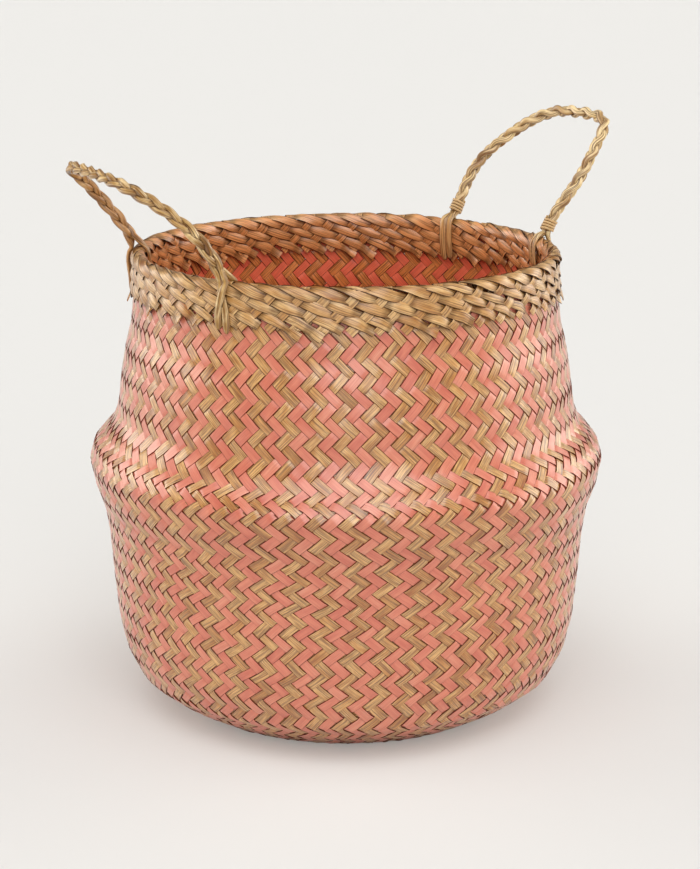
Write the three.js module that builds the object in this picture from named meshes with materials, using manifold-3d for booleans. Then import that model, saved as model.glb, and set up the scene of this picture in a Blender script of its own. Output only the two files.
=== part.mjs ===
// A round belly basket plaited from flat grass strips: a flat base mat, a full belly that folds in at a
// ridge, a narrower neck, a thick border round the mouth and two plaited rope handles that swing at the rim.
// Millimetres, +Z up. The origin is the middle of the base on the floor, and the front faces -Y.

import * as THREE from 'three';
import { mergeVertices } from 'three/addons/utils/BufferGeometryUtils.js';
import Module from 'manifold-3d';

// Driving sizes of the body.
const ridgeRadius = 180;
const ridgeHeight = 180;
const baseRadius = 108.5;
const footRise = 43.2;
const footSpread = 48.6;
const shoulderRise = 43;
const shoulderInset = 21.2;
const neckRise = 101;
const rimRadius = 143.3;
const rimThickness = 9.6;
const borderHeight = 27;
const borderFootSpread = 5.7;
const wallThickness = 2.5;
const tierRise = 8.25;
const tierDip = 0.8;
const seatGap = 0.3;

// Driving sizes of the handles.
const ropeDiameter = 9;
const splitRadius = 9.5;
const tailLength = 31;
const tailWidth = 5.5;
const tailThickness = 2;
const tailSpacing = 6.2;
const leftArchHeight = 84;
const leftArchBow = 26;
const leftArchSway = -20;
const rightArchHeight = 104;
const rightArchBow = 24;
const rightArchSway = -19;
const threadDiameter = 1.45;
const threadGap = 0.65;
const whippingTurns = 4;
const whippingStart = 11;

// How finely round shapes are cut into flats.
const wallFlats = 60;
const ropeFlats = 10;
const ropeSteps = 36;
const rollFlats = 8;
const ballFlats = 20;
const threadFlats = 6;
const threadStepsPerTurn = 24;
const pathDivisions = 2000;

// Each handle's two feet are given by their bearing round the rim, in degrees from +X. The lean is that of
// the rope as it leaves the rim. Bow is how far the arch curls outward, and sway how far it drifts sideways.
const handles = [
  {
    side: 'left',
    feet: [
      { place: 'back', bearing: 178, outerTails: 2, innerTails: 1 },
      { place: 'front', bearing: 238, outerTails: 2, innerTails: 1 },
    ],
    whipped: false,
    lean: 23,
    archHeight: leftArchHeight,
    archBow: leftArchBow,
    archSway: leftArchSway,
    squareness: 3.6,
    bulgeShare: 0.06,
  },
  {
    side: 'right',
    feet: [
      { place: 'front', bearing: 15.6, outerTails: 1, innerTails: 2 },
      { place: 'back', bearing: 57.6, outerTails: 1, innerTails: 2 },
    ],
    whipped: true,
    lean: 24,
    archHeight: rightArchHeight,
    archBow: rightArchBow,
    archSway: rightArchSway,
    squareness: 3.5,
    bulgeShare: 0.1,
  },
];

// Outlines of the wall's outer face. The first share runs from the lower radius to the upper one, and the
// second from the lower height to the upper one.
const footOutlineShares = [
  [0, 0],
  [0.471, 0.292],
  [0.813, 0.583],
  [1, 1],
];
const bellyOutlineShares = [
  [0, 0],
  [0.214, 0.158],
  [0.332, 0.354],
  [0.459, 0.618],
  [0.585, 0.747],
  [0.852, 0.876],
  [1, 1],
];
const shoulderOutlineShares = [
  [0, 0],
  [0.094, 0.22],
  [0.4, 0.41],
  [0.755, 0.6],
  [0.925, 0.8],
  [1, 1],
];
const neckOutlineShares = [
  [0, 0],
  [0.2, 0.24],
  [0.45, 0.48],
  [0.8, 0.7],
  [1, 1],
];

// Sizes that follow from the driving ones.
const footTopRadius = baseRadius + footSpread;
const shoulderTopHeight = ridgeHeight + shoulderRise;
const neckFootRadius = ridgeRadius - shoulderInset;
const rimHeight = shoulderTopHeight + neckRise;
const borderFootRadius = rimRadius + borderFootSpread;
const rollRadius = rimThickness / 2;
const rollHeight = rimHeight - rollRadius;
const borderThickness = (rimThickness - wallThickness) / 2 - seatGap;
const borderFootHeight = rimHeight - borderHeight;
const wallTopRadius = rimRadius + wallThickness / 2;
const wallTopHeight = rollHeight - seatGap;
const wallUnderBorderRadius = borderFootRadius - borderThickness / 2 - seatGap;
const innerBorderFootRadius = wallUnderBorderRadius - wallThickness - seatGap - borderThickness;
const ropeRadius = ropeDiameter / 2;
const threadRadius = threadDiameter / 2;
const threadPitch = threadDiameter + threadGap;
const flatDip = rimRadius * (1 - Math.cos(Math.PI / wallFlats));

const manifoldLibrary = await Module();
manifoldLibrary.setup();

const strawColour = new THREE.Color(0xc8a66b);
const paleStrawColour = new THREE.Color(0xd4b77f);
const brownStrawColour = new THREE.Color(0xa97c4a);
const dyedPinkColour = new THREE.Color(0xec8f84);
const strawRoughness = 0.75;

function merged(geometry) {
  geometry.deleteAttribute('normal');
  geometry.deleteAttribute('uv');
  const nearEnough = seatGap / 1000;
  return mergeVertices(geometry, nearEnough);
}

function toSolid(geometry) {
  const closed = merged(geometry);
  const mesh = new manifoldLibrary.Mesh({
    numProp: 3,
    vertProperties: new Float32Array(closed.attributes.position.array),
    triVerts: new Uint32Array(closed.index.array),
  });
  return new manifoldLibrary.Manifold(mesh);
}

function toGeometry(solid) {
  const mesh = solid.getMesh();
  const geometry = new THREE.BufferGeometry();
  geometry.setAttribute('position', new THREE.BufferAttribute(mesh.vertProperties, 3));
  geometry.setIndex(new THREE.BufferAttribute(mesh.triVerts, 1));
  return geometry;
}

function named(name, geometry, colour) {
  geometry.computeVertexNormals();
  const material = new THREE.MeshStandardMaterial({ color: colour, roughness: strawRoughness, metalness: 0 });
  const mesh = new THREE.Mesh(geometry, material);
  mesh.name = name;
  return mesh;
}

// Turns an outline of [radius, height] points about the Z axis. The points run anticlockwise, and the
// outline closes on itself unless it starts and ends on the axis.
function turned(outline) {
  const startsOnAxis = outline[0][0] === 0;
  const loop = startsOnAxis ? outline : [...outline, outline[0]];
  const points = loop.map(([radius, height]) => new THREE.Vector2(radius, height));
  const geometry = new THREE.LatheGeometry(points, wallFlats);
  geometry.rotateX(Math.PI / 2);
  return merged(geometry);
}

// Gives the outline's points between a lower and an upper [radius, height] corner.
function placedOutline(shares, lower, upper) {
  return shares.map(([radiusShare, heightShare]) => [
    lower[0] + (upper[0] - lower[0]) * radiusShare,
    lower[1] + (upper[1] - lower[1]) * heightShare,
  ]);
}

// The inner face runs one wall thickness inside the outer one, square to it.
function innerFace(outline) {
  return outline.map((point, index) => {
    const before = outline[Math.max(index - 1, 0)];
    const after = outline[Math.min(index + 1, outline.length - 1)];
    const along = new THREE.Vector2(after[0] - before[0], after[1] - before[1]).normalize();
    return [point[0] - along.y * wallThickness, point[1] + along.x * wallThickness];
  });
}

// The floats of the plaiting lie in level tiers. The outer face dips between two tiers, where the floats of
// one go under those of the next, and starts and ends on the crest of a tier.
function dippedInTiers(outline) {
  const points = outline.map(([radius, height]) => new THREE.Vector3(radius, height, 0));
  const path = new THREE.CurvePath();
  for (let index = 1; index < points.length; index += 1) {
    path.add(new THREE.LineCurve3(points[index - 1], points[index]));
  }
  const dips = Math.round(path.getLength() / tierRise);
  const face = [];
  for (let step = 0; step <= 2 * dips; step += 1) {
    const share = step / (2 * dips);
    const place = path.getPoint(share);
    const along = path.getTangent(share);
    const depth = step % 2 === 1 ? tierDip : 0;
    face.push([place.x - along.y * depth, place.y + along.x * depth]);
  }
  return face;
}

// A ring of wall whose ends are cut level, or upright where the wall starts at the base mat.
function wallRing(outline, startsUpright, outerFace = outline) {
  const inner = innerFace(outline);
  const last = outline.length - 1;
  const firstRise = (outline[1][1] - outline[0][1]) / (outline[1][0] - outline[0][0]);
  if (startsUpright) {
    inner[0] = [outline[0][0], outline[0][1] + wallThickness * Math.hypot(1, firstRise)];
  } else {
    inner[0] = [outline[0][0] - wallThickness, outline[0][1]];
  }
  inner[last] = [outline[last][0] - wallThickness, outline[last][1]];
  return turned([...outerFace, ...inner.reverse()]);
}

function baseMat() {
  const edge = baseRadius - seatGap;
  return turned([
    [0, 0],
    [edge, 0],
    [edge, wallThickness],
    [0, wallThickness],
  ]);
}

function bellyFoot() {
  const high = [footTopRadius, footRise - seatGap / 2];
  return wallRing(placedOutline(footOutlineShares, [baseRadius, 0], high), true);
}

function bellyWall() {
  const low = [footTopRadius, footRise + seatGap / 2];
  const high = [ridgeRadius, ridgeHeight - seatGap / 2];
  const outline = placedOutline(bellyOutlineShares, low, high);
  return wallRing(outline, false, dippedInTiers(outline));
}

function shoulderFold() {
  const low = [ridgeRadius, ridgeHeight + seatGap / 2];
  const high = [neckFootRadius, shoulderTopHeight - seatGap / 2];
  const outline = placedOutline(shoulderOutlineShares, low, high);
  return wallRing(outline, false, dippedInTiers(outline));
}

// The neck wall's top end is hidden between the border's two bands, and has no tiers.
function neckWall() {
  const low = [neckFootRadius, shoulderTopHeight + seatGap / 2];
  const underBorder = [wallUnderBorderRadius, borderFootHeight];
  const wallTop = [wallTopRadius, wallTopHeight];
  const outline = placedOutline(neckOutlineShares, low, underBorder);
  return wallRing([...outline, wallTop], false, [...dippedInTiers(outline), wallTop]);
}

// The border is a band on each face of the wall, under one roll that covers the wall's cut edge.
function borderOuter() {
  const wallFace = [wallUnderBorderRadius + seatGap, borderFootHeight];
  return turned([
    wallFace,
    [borderFootRadius, borderFootHeight],
    [rimRadius + rollRadius, wallTopHeight],
    [wallTopRadius + seatGap, wallTopHeight],
  ]);
}

function borderInner() {
  const wallTop = wallTopRadius - wallThickness - seatGap;
  return turned([
    [innerBorderFootRadius, borderFootHeight],
    [innerBorderFootRadius + borderThickness, borderFootHeight],
    [wallTop, wallTopHeight],
    [rimRadius - rollRadius, wallTopHeight],
  ]);
}

function rollArc(radius) {
  const points = [];
  for (let step = 0; step <= rollFlats; step += 1) {
    const angle = (Math.PI * step) / rollFlats;
    points.push([rimRadius + radius * Math.cos(angle), rollHeight + radius * Math.sin(angle)]);
  }
  return points;
}

function rimRoll() {
  return turned(rollArc(rollRadius));
}

// The space that the rim's three pieces fill, with the seat gap round it, which the rope's splits leave free.
function rimSpace() {
  return turned([
    ...rollArc(rollRadius + seatGap),
    [innerBorderFootRadius - seatGap, borderFootHeight],
    [borderFootRadius + seatGap, borderFootHeight],
  ]);
}

function footPoint(foot) {
  const bearing = THREE.MathUtils.degToRad(foot.bearing);
  return new THREE.Vector3(rimRadius * Math.cos(bearing), rimRadius * Math.sin(bearing), rollHeight);
}

// The plies of the rope part over the rim: a ball about the swing's pivot, less the rim that it straddles.
function ropeSplit(foot, rimSolid) {
  const ball = new THREE.SphereGeometry(splitRadius, ballFlats, ballFlats / 2);
  const place = footPoint(foot);
  ball.translate(place.x, place.y, place.z);
  return toGeometry(toSolid(ball).subtract(rimSolid));
}

// A ply's flat end lies down one face of the border. The outline is drawn as [outward, up] from the pivot.
function tail(foot, sideways, outside) {
  const topDrop = Math.sqrt(splitRadius ** 2 - (rollRadius + seatGap) ** 2) + seatGap;
  const borderDrop = rollHeight - borderFootHeight;
  const endDrop = tailLength - rollRadius;
  const slopeShare = topDrop / borderDrop;
  const innerFootOut = innerBorderFootRadius - rimRadius - seatGap - flatDip;
  const footOut = outside ? borderFootRadius - rimRadius + seatGap : innerFootOut;
  const rollOut = outside ? rollRadius + seatGap : -rollRadius - seatGap - flatDip;
  const topOut = rollOut + (footOut - rollOut) * slopeShare;
  const through = outside ? tailThickness : -tailThickness;
  const shape = new THREE.Shape([
    new THREE.Vector2(topOut, -topDrop),
    new THREE.Vector2(footOut, -borderDrop),
    new THREE.Vector2(footOut, -endDrop),
    new THREE.Vector2(footOut + through, -endDrop),
    new THREE.Vector2(footOut + through, -borderDrop),
    new THREE.Vector2(topOut + through, -topDrop),
  ]);
  const geometry = new THREE.ExtrudeGeometry(shape, { depth: tailWidth, bevelEnabled: false });
  geometry.translate(0, 0, -tailWidth / 2 - sideways);
  geometry.rotateX(Math.PI / 2);
  geometry.rotateZ(THREE.MathUtils.degToRad(foot.bearing));
  const place = footPoint(foot);
  geometry.translate(place.x, place.y, place.z);
  return merged(geometry);
}

// The middle line of a handle's rope, from one foot to the other: a squared arch that bulges and bows.
class ArchPath extends THREE.Curve {
  constructor(handle) {
    super();
    this.arcLengthDivisions = pathDivisions;
    this.handle = handle;
    const [start, end] = handle.feet.map(footPoint);
    this.middle = start.clone().add(end).multiplyScalar(0.5);
    this.halfSpan = start.distanceTo(end) / 2;
    this.across = end.clone().sub(start).normalize();
    const lean = THREE.MathUtils.degToRad(handle.lean);
    const outward = new THREE.Vector3(this.middle.x, this.middle.y, 0).normalize();
    this.rise = outward.multiplyScalar(Math.sin(lean));
    this.rise.z = Math.cos(lean);
    this.bow = this.across.clone().cross(this.rise);
  }

  getPoint(t, target = new THREE.Vector3()) {
    const angle = Math.PI * Math.min(Math.max(t, 0), 1);
    const power = 2 / this.handle.squareness;
    const riseShare = Math.sin(angle) ** power;
    const side = -Math.sign(Math.cos(angle)) * Math.abs(Math.cos(angle)) ** power;
    const swell = 1 + this.handle.bulgeShare * Math.sin(Math.PI * riseShare) ** 4;
    const acrossOffset = this.halfSpan * side * swell + this.handle.archSway * riseShare ** 2;
    target.copy(this.middle);
    target.addScaledVector(this.across, acrossOffset);
    target.addScaledVector(this.rise, this.handle.archHeight * riseShare);
    return target.addScaledVector(this.bow, this.handle.archBow * riseShare ** 2);
  }
}

function roundSection(radius, flats) {
  const points = [];
  for (let step = 0; step < flats; step += 1) {
    const angle = (2 * Math.PI * step) / flats;
    points.push(new THREE.Vector2(radius * Math.cos(angle), radius * Math.sin(angle)));
  }
  return new THREE.Shape(points);
}

function tubeAlong(path, section, steps) {
  return new THREE.ExtrudeGeometry(section, { steps, extrudePath: path, bevelEnabled: false });
}

// The rope's ends are hollowed to the split's ball, so that they turn on it.
function handleRope(handle) {
  const path = new ArchPath(handle);
  const section = roundSection(ropeRadius, ropeFlats);
  let solid = toSolid(tubeAlong(path, section, ropeSteps));
  for (const foot of handle.feet) {
    const ball = new THREE.SphereGeometry(splitRadius + seatGap, ballFlats, ballFlats / 2);
    const place = footPoint(foot);
    ball.translate(place.x, place.y, place.z);
    solid = solid.subtract(toSolid(ball));
  }
  return toGeometry(solid);
}

// A thread wound round the rope above its foot. It starts and ends tucked against the rope.
class WhippingPath extends THREE.Curve {
  constructor(handle, atStart) {
    super();
    this.path = new ArchPath(handle);
    this.pathLength = this.path.getLength();
    this.atStart = atStart;
  }

  getPoint(t, target = new THREE.Vector3()) {
    const along = whippingStart + t * whippingTurns * threadPitch;
    const share = along / this.pathLength;
    const place = this.atStart ? share : 1 - share;
    const centre = this.path.getPointAt(place);
    const tangent = this.path.getTangentAt(place);
    const first = this.path.across.clone();
    first.addScaledVector(tangent, -first.dot(tangent)).normalize();
    const second = tangent.clone().cross(first);
    const turn = 2 * Math.PI * whippingTurns * t;
    const radius = ropeRadius + seatGap + threadRadius;
    target.copy(centre);
    target.addScaledVector(first, radius * Math.cos(turn));
    return target.addScaledVector(second, radius * Math.sin(turn));
  }
}

function leastGapToItself(path, steps) {
  const points = path.getSpacedPoints(steps);
  const halfTurn = threadStepsPerTurn / 2;
  let least = Infinity;
  for (let i = 0; i < points.length; i += 1) {
    for (let j = i + halfTurn; j < points.length; j += 1) {
      least = Math.min(least, points[i].distanceTo(points[j]) - threadDiameter);
    }
  }
  return least;
}

function whipping(handle, foot) {
  const path = new WhippingPath(handle, foot === handle.feet[0]);
  const steps = whippingTurns * threadStepsPerTurn;
  const gap = leastGapToItself(path, steps);
  console.log(`${handle.side} ${foot.place} whipping: least gap to itself ${gap.toFixed(2)} mm`);
  const section = roundSection(threadRadius, threadFlats);
  return merged(tubeAlong(path, section, steps));
}

// Tails on one face lie side by side, evenly about the foot.
function addTails(group, handle, foot, count, outside) {
  const face = outside ? 'outer' : 'inner';
  for (let index = 0; index < count; index += 1) {
    const sideways = (index - (count - 1) / 2) * tailSpacing;
    const name = `${handle.side}_${foot.place}_${face}_tail_${index + 1}`;
    group.add(named(name, tail(foot, sideways, outside), outside ? paleStrawColour : brownStrawColour));
  }
}

function body() {
  const group = new THREE.Group();
  group.add(named('base_mat', baseMat(), strawColour));
  group.add(named('belly_foot', bellyFoot(), dyedPinkColour));
  group.add(named('belly_wall', bellyWall(), dyedPinkColour));
  group.add(named('shoulder_fold', shoulderFold(), dyedPinkColour));
  group.add(named('neck_wall', neckWall(), dyedPinkColour));
  group.add(named('rim_border_outer', borderOuter(), strawColour));
  group.add(named('rim_border_inner', borderInner(), brownStrawColour));
  group.add(named('rim_roll', rimRoll(), paleStrawColour));
  return group;
}

function handleGroup(handle, rimSolid) {
  const group = new THREE.Group();
  group.add(named(`${handle.side}_handle_rope`, handleRope(handle), paleStrawColour));
  for (const foot of handle.feet) {
    const name = `${handle.side}_${foot.place}_rope_split`;
    group.add(named(name, ropeSplit(foot, rimSolid), paleStrawColour));
    addTails(group, handle, foot, foot.outerTails, true);
    addTails(group, handle, foot, foot.innerTails, false);
    if (handle.whipped) {
      group.add(named(`${handle.side}_${foot.place}_whipping`, whipping(handle, foot), strawColour));
    }
  }
  return group;
}

const basket = new THREE.Group();
basket.add(body());
const rimSolid = toSolid(rimSpace());
for (const handle of handles) {
  basket.add(handleGroup(handle, rimSolid));
}

export default basket;
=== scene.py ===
# %% [markdown]
# # A handled basket, plaited strip by strip
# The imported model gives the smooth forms: a base mat, four rings of wall, the border round the mouth, and
# two handles that swing. They stay in place as the frame. Every one of them is plaited from flat grass in
# reality, so this lesson lays the strips themselves over those forms.

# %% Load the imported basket
import functools
import math
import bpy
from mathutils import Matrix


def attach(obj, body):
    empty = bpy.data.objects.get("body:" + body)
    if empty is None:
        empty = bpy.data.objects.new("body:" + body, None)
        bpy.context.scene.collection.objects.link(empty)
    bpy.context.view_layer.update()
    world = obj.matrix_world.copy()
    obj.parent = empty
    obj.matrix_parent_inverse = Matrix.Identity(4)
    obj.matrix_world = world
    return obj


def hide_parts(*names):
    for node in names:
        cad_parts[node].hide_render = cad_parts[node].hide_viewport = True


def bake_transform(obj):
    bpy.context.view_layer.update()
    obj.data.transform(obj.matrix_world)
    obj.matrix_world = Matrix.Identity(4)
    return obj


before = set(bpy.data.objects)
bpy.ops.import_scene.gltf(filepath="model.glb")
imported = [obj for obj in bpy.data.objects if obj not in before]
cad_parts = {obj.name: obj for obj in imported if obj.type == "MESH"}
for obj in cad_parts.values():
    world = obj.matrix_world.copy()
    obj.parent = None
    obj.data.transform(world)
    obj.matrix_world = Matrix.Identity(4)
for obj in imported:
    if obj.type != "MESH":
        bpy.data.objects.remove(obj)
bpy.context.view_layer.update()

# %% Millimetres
from types import SimpleNamespace

import bpy
import numpy as np

MM = 0.001


# %% Helpers for lines and rows of numbers
def unit(vectors):
    return vectors / np.maximum(np.linalg.norm(vectors, axis=-1, keepdims=True), 1e-12)


def column(values):
    """One value for each row, ready to multiply rows of x, y and z."""
    return np.expand_dims(values, -1)


def tangents(route):
    return unit(np.gradient(route, axis=0))


def distances(points):
    """How far along a line of points each one lies."""
    return np.concatenate([[0], np.cumsum(np.linalg.norm(np.diff(points, axis=0), axis=1))])


def read_along(where, distance, rows):
    """Rows of numbers that belong to the points of a line, read off at other distances along it."""
    return np.stack([np.interp(where, distance, values) for values in rows.T], -1)


def turned(radius, height, bearing):
    """The place or direction with this radius and height, at a bearing about Z."""
    return np.stack([radius * np.cos(bearing), radius * np.sin(bearing), height], -1)


def wrapped(value, turn):
    """The same place on a circle, counted from half a turn back to half a turn on."""
    return (value + turn / 2) % turn - turn / 2


def eased(value, low, high):
    """0 up to low, 1 from high on, and a soft step between them."""
    share = np.clip((value - low) / (high - low), 0, 1)
    return share * share * (3 - 2 * share)


def bell(value, centre, width):
    """1 at the centre, and less to both sides."""
    return np.exp(-(((value - centre) / width) ** 2))


# %% [markdown]
# ## The camera
# The camera comes first, so that each piece can be looked at from the photograph's side. Its place was
# fitted to the basket's outline: a long lens, a little above the rim, looking slightly down.

# %% Camera at the photograph's viewing angle
CAMERA_PLACE = (2.86 * MM, -1692 * MM, 628.8 * MM)
CAMERA_PITCH_DOWN = 14.5307
CAMERA_LENS = 102.62
CAMERA_FAR_LIMIT = 60

bpy.ops.object.select_all(action="DESELECT")
camera_turn = (math.radians(90 - CAMERA_PITCH_DOWN), 0, 0)
bpy.ops.object.camera_add(location=CAMERA_PLACE, rotation=camera_turn)
camera = bpy.context.object
camera.name = "camera"
camera.data.lens = CAMERA_LENS
camera.data.sensor_width = 36
camera.data.clip_end = CAMERA_FAR_LIMIT
bpy.context.scene.camera = camera
print("lens", camera.data.lens, "mm")

# %% [markdown]
# ## The form that the strips lie on
# A real basket of this kind is shaped over nothing but its own tension, so its outline is a smooth curve
# with one fold at the ridge. The outline below is the outer face, from the middle of the base to the rim.
# It could be drawn as a curve object and revolved. Here only numbers are needed, because the strips are
# laid along it, so it stays a table that is smoothed a little at its corners.

# %% The outline of the body, as radius and height
BODY_OUTLINE = [
    (0, 0), (108.5, 0), (131.4, 12.6), (148.0, 25.2), (157.1, 43.2), (162.0, 64.8), (164.7, 91.6),
    (167.6, 127.7), (170.5, 145.4), (176.6, 163.0), (180.0, 180.0), (178.0, 189.5), (171.5, 197.6),
    (164.0, 205.8), (160.4, 214.4), (158.8, 223.0), (156.5, 240.8), (153.5, 258.5), (149.4, 274.8),
    (147.1, 297.0), (144.6, 318.9),
]
BODY_SOFTNESS = 1.5 * MM
SHEET_DEPTH = 1.25 * MM
OUTLINE_STEP = 0.4 * MM


class TurnedForm:
    """An outline of radius and height that turns about Z, measured along its own length from its start."""

    def __init__(self, outline, start, softness, inset, drawn_in=None):
        self.drawn_in = drawn_in
        points = np.array(outline, float) * MM
        corners = start + distances(points)
        self.reach = np.arange(corners[0], corners[-1], OUTLINE_STEP)
        radius, height = (np.interp(self.reach, corners, values) for values in points.T)
        self.radius = self.softened(radius, softness)
        self.height = self.softened(height, softness)
        rise = np.gradient(self.height, self.reach)
        spread = np.gradient(self.radius, self.reach)
        size = np.hypot(rise, spread)
        self.out_radius = rise / size
        self.out_height = -spread / size
        self.radius = self.radius - inset * self.out_radius
        self.height = self.height - inset * self.out_height

    def softened(self, values, softness):
        """Rounds the corners. Beyond its two ends the line is taken to run straight on."""
        half = int(3 * softness / OUTLINE_STEP) + 1
        offsets = np.arange(-half, half + 1) * OUTLINE_STEP
        weights = np.exp(-0.5 * (offsets / softness) ** 2)
        before = 2 * values[0] - values[half:0:-1]
        after = 2 * values[-1] - values[-2:-half - 2:-1]
        padded = np.concatenate([before, values, after])
        return np.convolve(padded, weights / weights.sum(), mode="valid")

    def at(self, bearing, reach, lift=0.0):
        """The place at a bearing and a reach along the outline, and the outward direction there."""
        profile = (self.radius, self.height, self.out_radius, self.out_height)
        radius, height, out_radius, out_height = (np.interp(reach, self.reach, part) for part in profile)
        place = turned(radius, height, bearing)
        outward = turned(out_radius, out_height, bearing)
        if self.drawn_in:
            onward = turned(-out_height, out_radius, bearing)
            depth, slope = self.drawn_in(bearing, reach)
            place = place - outward * column(depth)
            outward = unit(outward + onward * column(slope))
        return place + outward * column(lift), outward


# %% [markdown]
# At the front the photographed basket is folded more sharply than elsewhere, so the shoulder is drawn in a
# little there. The depth is a function of the bearing and the reach, and the same function gives its slope,
# which turns the strips' faces with it.

# %% The fold at the front
FRONT_BEARING = -math.pi / 2
FOLD_DEPTH = 4.2 * MM
FOLD_REACHES = np.array([311.5, 325.5, 331, 375]) * MM
FOLD_WIDTH = 0.75
FOLD_SHARE_BEHIND = 0.2


def front_fold(bearing, reach):
    """How far the shoulder is drawn in above the ridge, mostly at the front, and how fast that changes."""
    low, full, past, high = FOLD_REACHES

    def depth(reach):
        into = np.clip((reach - low) / (full - low), 0, 1)
        back = np.clip((reach - past) / (high - past), 0, 1)
        return np.minimum(np.sin(into * math.pi / 2) ** 1.5, np.cos(back * math.pi / 2) ** 2)

    facing = bell(wrapped(bearing - FRONT_BEARING, 2 * math.pi), 0, FOLD_WIDTH)
    weight = FOLD_DEPTH * (FOLD_SHARE_BEHIND + (1 - FOLD_SHARE_BEHIND) * facing)
    slope = (depth(reach + OUTLINE_STEP / 2) - depth(reach - OUTLINE_STEP / 2)) / OUTLINE_STEP
    return weight * depth(reach), weight * slope


body = TurnedForm(BODY_OUTLINE, 0, BODY_SOFTNESS, SHEET_DEPTH, front_fold)
print("from the middle of the base to the rim, along the wall:", round(body.reach[-1] / MM, 1), "mm")

# %% [markdown]
# ## One blade of grass
# A dried strip is long, flat and a little crowned, with thin edges. It could be a plane with a Solidify
# modifier, but every strip here is bent to its own route, over and under its neighbours. So one blank is
# modelled by hand, as a thin prism that is cut into many short lengths, and each strip is a copy of it with
# its own mesh: a copy keeps the blank's faces, and each cut is moved to its place along the route.

# %% A straight blank, cut into lengths
MOST_LENGTHS_AT_ONCE = 60


def cut_lengthways(lengths):
    """Cuts the blank's long edges, which are the ones that run along X."""
    # In vertex mode the rings' edges would be picked too, and cut as well.
    bpy.ops.mesh.select_mode(type="EDGE")
    bpy.ops.mesh.select_all(action="DESELECT")
    bpy.ops.object.mode_set(mode="OBJECT")
    mesh = bpy.context.object.data
    for edge in mesh.edges:
        first, second = (mesh.vertices[i].co for i in edge.vertices)
        edge.select = abs(first.x - second.x) > 1e-4
    bpy.ops.object.mode_set(mode="EDIT")
    bpy.ops.mesh.subdivide(number_cuts=lengths - 1, smoothness=0)


def read_all(items, name, kind=float, width=1):
    """A value, or a row of values, from each item of a mesh."""
    values = np.empty(len(items) * width, kind)
    items.foreach_get(name, values)
    return values.reshape(-1, width) if width > 1 else values


@functools.cache
def blade_blank(stations, sides):
    """A prism along X from 0 to 1 with that many stations and flats. Each size is made once."""
    bpy.ops.object.select_all(action="DESELECT")
    turn = (0, math.pi / 2, 0)
    middle = (0.5, 0, 0)
    bpy.ops.mesh.primitive_cylinder_add(vertices=sides, radius=1, depth=1, location=middle, rotation=turn)
    bpy.ops.object.transform_apply(location=True, rotation=True, scale=True)
    bpy.ops.object.mode_set(mode="EDIT")
    lengths = stations - 1
    while lengths > 1:
        possible = range(min(lengths, MOST_LENGTHS_AT_ONCE), 1, -1)
        divisor = next((count for count in possible if lengths % count == 0), lengths)
        cut_lengthways(divisor)
        lengths //= divisor
    bpy.ops.object.mode_set(mode="OBJECT")
    blank = bpy.context.object
    places = read_all(blank.data.vertices, "co", width=3)
    along = np.rint(places[:, 0] * (stations - 1)).astype(int)
    corners = read_all(blank.data.loops, "vertex_index", int)
    face_starts = read_all(blank.data.polygons, "loop_start", int)
    mesh = blank.data.copy()
    bpy.data.objects.remove(blank)
    return mesh, along, places[:, 1], places[:, 2], corners, face_starts


# %% [markdown]
# A blade is told where to go by a row of places and a row of outward directions. It also carries what its
# finish needs: a UV map that runs along it and across it, its own tone and seed, and marks for the painted
# shade on its shaded side and in its creases.

# %% Lay a copy of the blank along a route
ROUND = 1.0
UNDERSIDE = "underside"
GROOVES_ROUND = 4
GROOVE_TWIST = 0.13


def rolled(route, outward, angle):
    """Leans a strip's face sideways, as a tile leans on the next one."""
    side = unit(np.cross(outward, tangents(route)))
    angle = column(np.broadcast_to(angle, len(route)))
    return outward * np.cos(angle) - side * np.sin(angle)


def laid_blade(route, outward, half_width, half_depth, tone, sides=6, squareness=0.12, grooves=0.0,
               shade=0.0, crease_shade=0.0):
    """A copy of the blank that is bent along a route. A low squareness flattens the section's faces."""
    stations = len(route)
    blank, along, across, through, corners, face_starts = blade_blank(stations, sides)
    tangent = tangents(route)
    side = unit(np.cross(outward, tangent))
    up = np.cross(tangent, side)
    around = np.arctan2(across, through)
    fluting = 1 + grooves * np.cos(GROOVES_ROUND * around + GROOVE_TWIST * along)
    wide, deep = (
        np.sign(place) * np.where(np.abs(place) < 1e-4, 0, np.abs(place)) ** squareness * fluting
        for place in (across, through)
    )
    places = route[along] + side[along] * column(wide * np.broadcast_to(half_width, stations)[along])
    places = places + up[along] * column(deep * np.broadcast_to(half_depth, stations)[along])
    mesh = blank.copy()
    mesh.vertices.foreach_set("co", places.ravel())
    sweep = wide[corners]
    if squareness == ROUND:
        # The map goes once round the section, and a face that crosses its seam is mapped on past it.
        sweep = around[corners] / math.pi
        widest = np.maximum.reduceat(sweep, face_starts)
        face_sizes = np.diff(np.append(face_starts, len(corners)))
        crosses_seam = np.repeat(widest, face_sizes) - sweep > 1.2
        sweep = np.where(crosses_seam, sweep + 2, sweep)
    uv = mesh.uv_layers[0]
    uv.name = "blade"
    uv.data.foreach_set("uv", np.stack([distances(route)[along][corners], sweep], -1).ravel())
    marks = {"tone": tone[0], "seed": tone[1], "shade": shade, "crease_shade": crease_shade}
    for name, value in marks.items():
        values = through < 0 if value is UNDERSIDE else np.broadcast_to(value, stations)[along]
        attribute = mesh.attributes.new(name, "FLOAT", "POINT")
        attribute.data.foreach_set("value", values.astype(float))
    blade = bpy.data.objects.new("blade", mesh)
    bpy.context.collection.objects.link(blade)
    return blade


# %% Join blades into a piece
CRISP_ANGLE = 40


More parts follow.
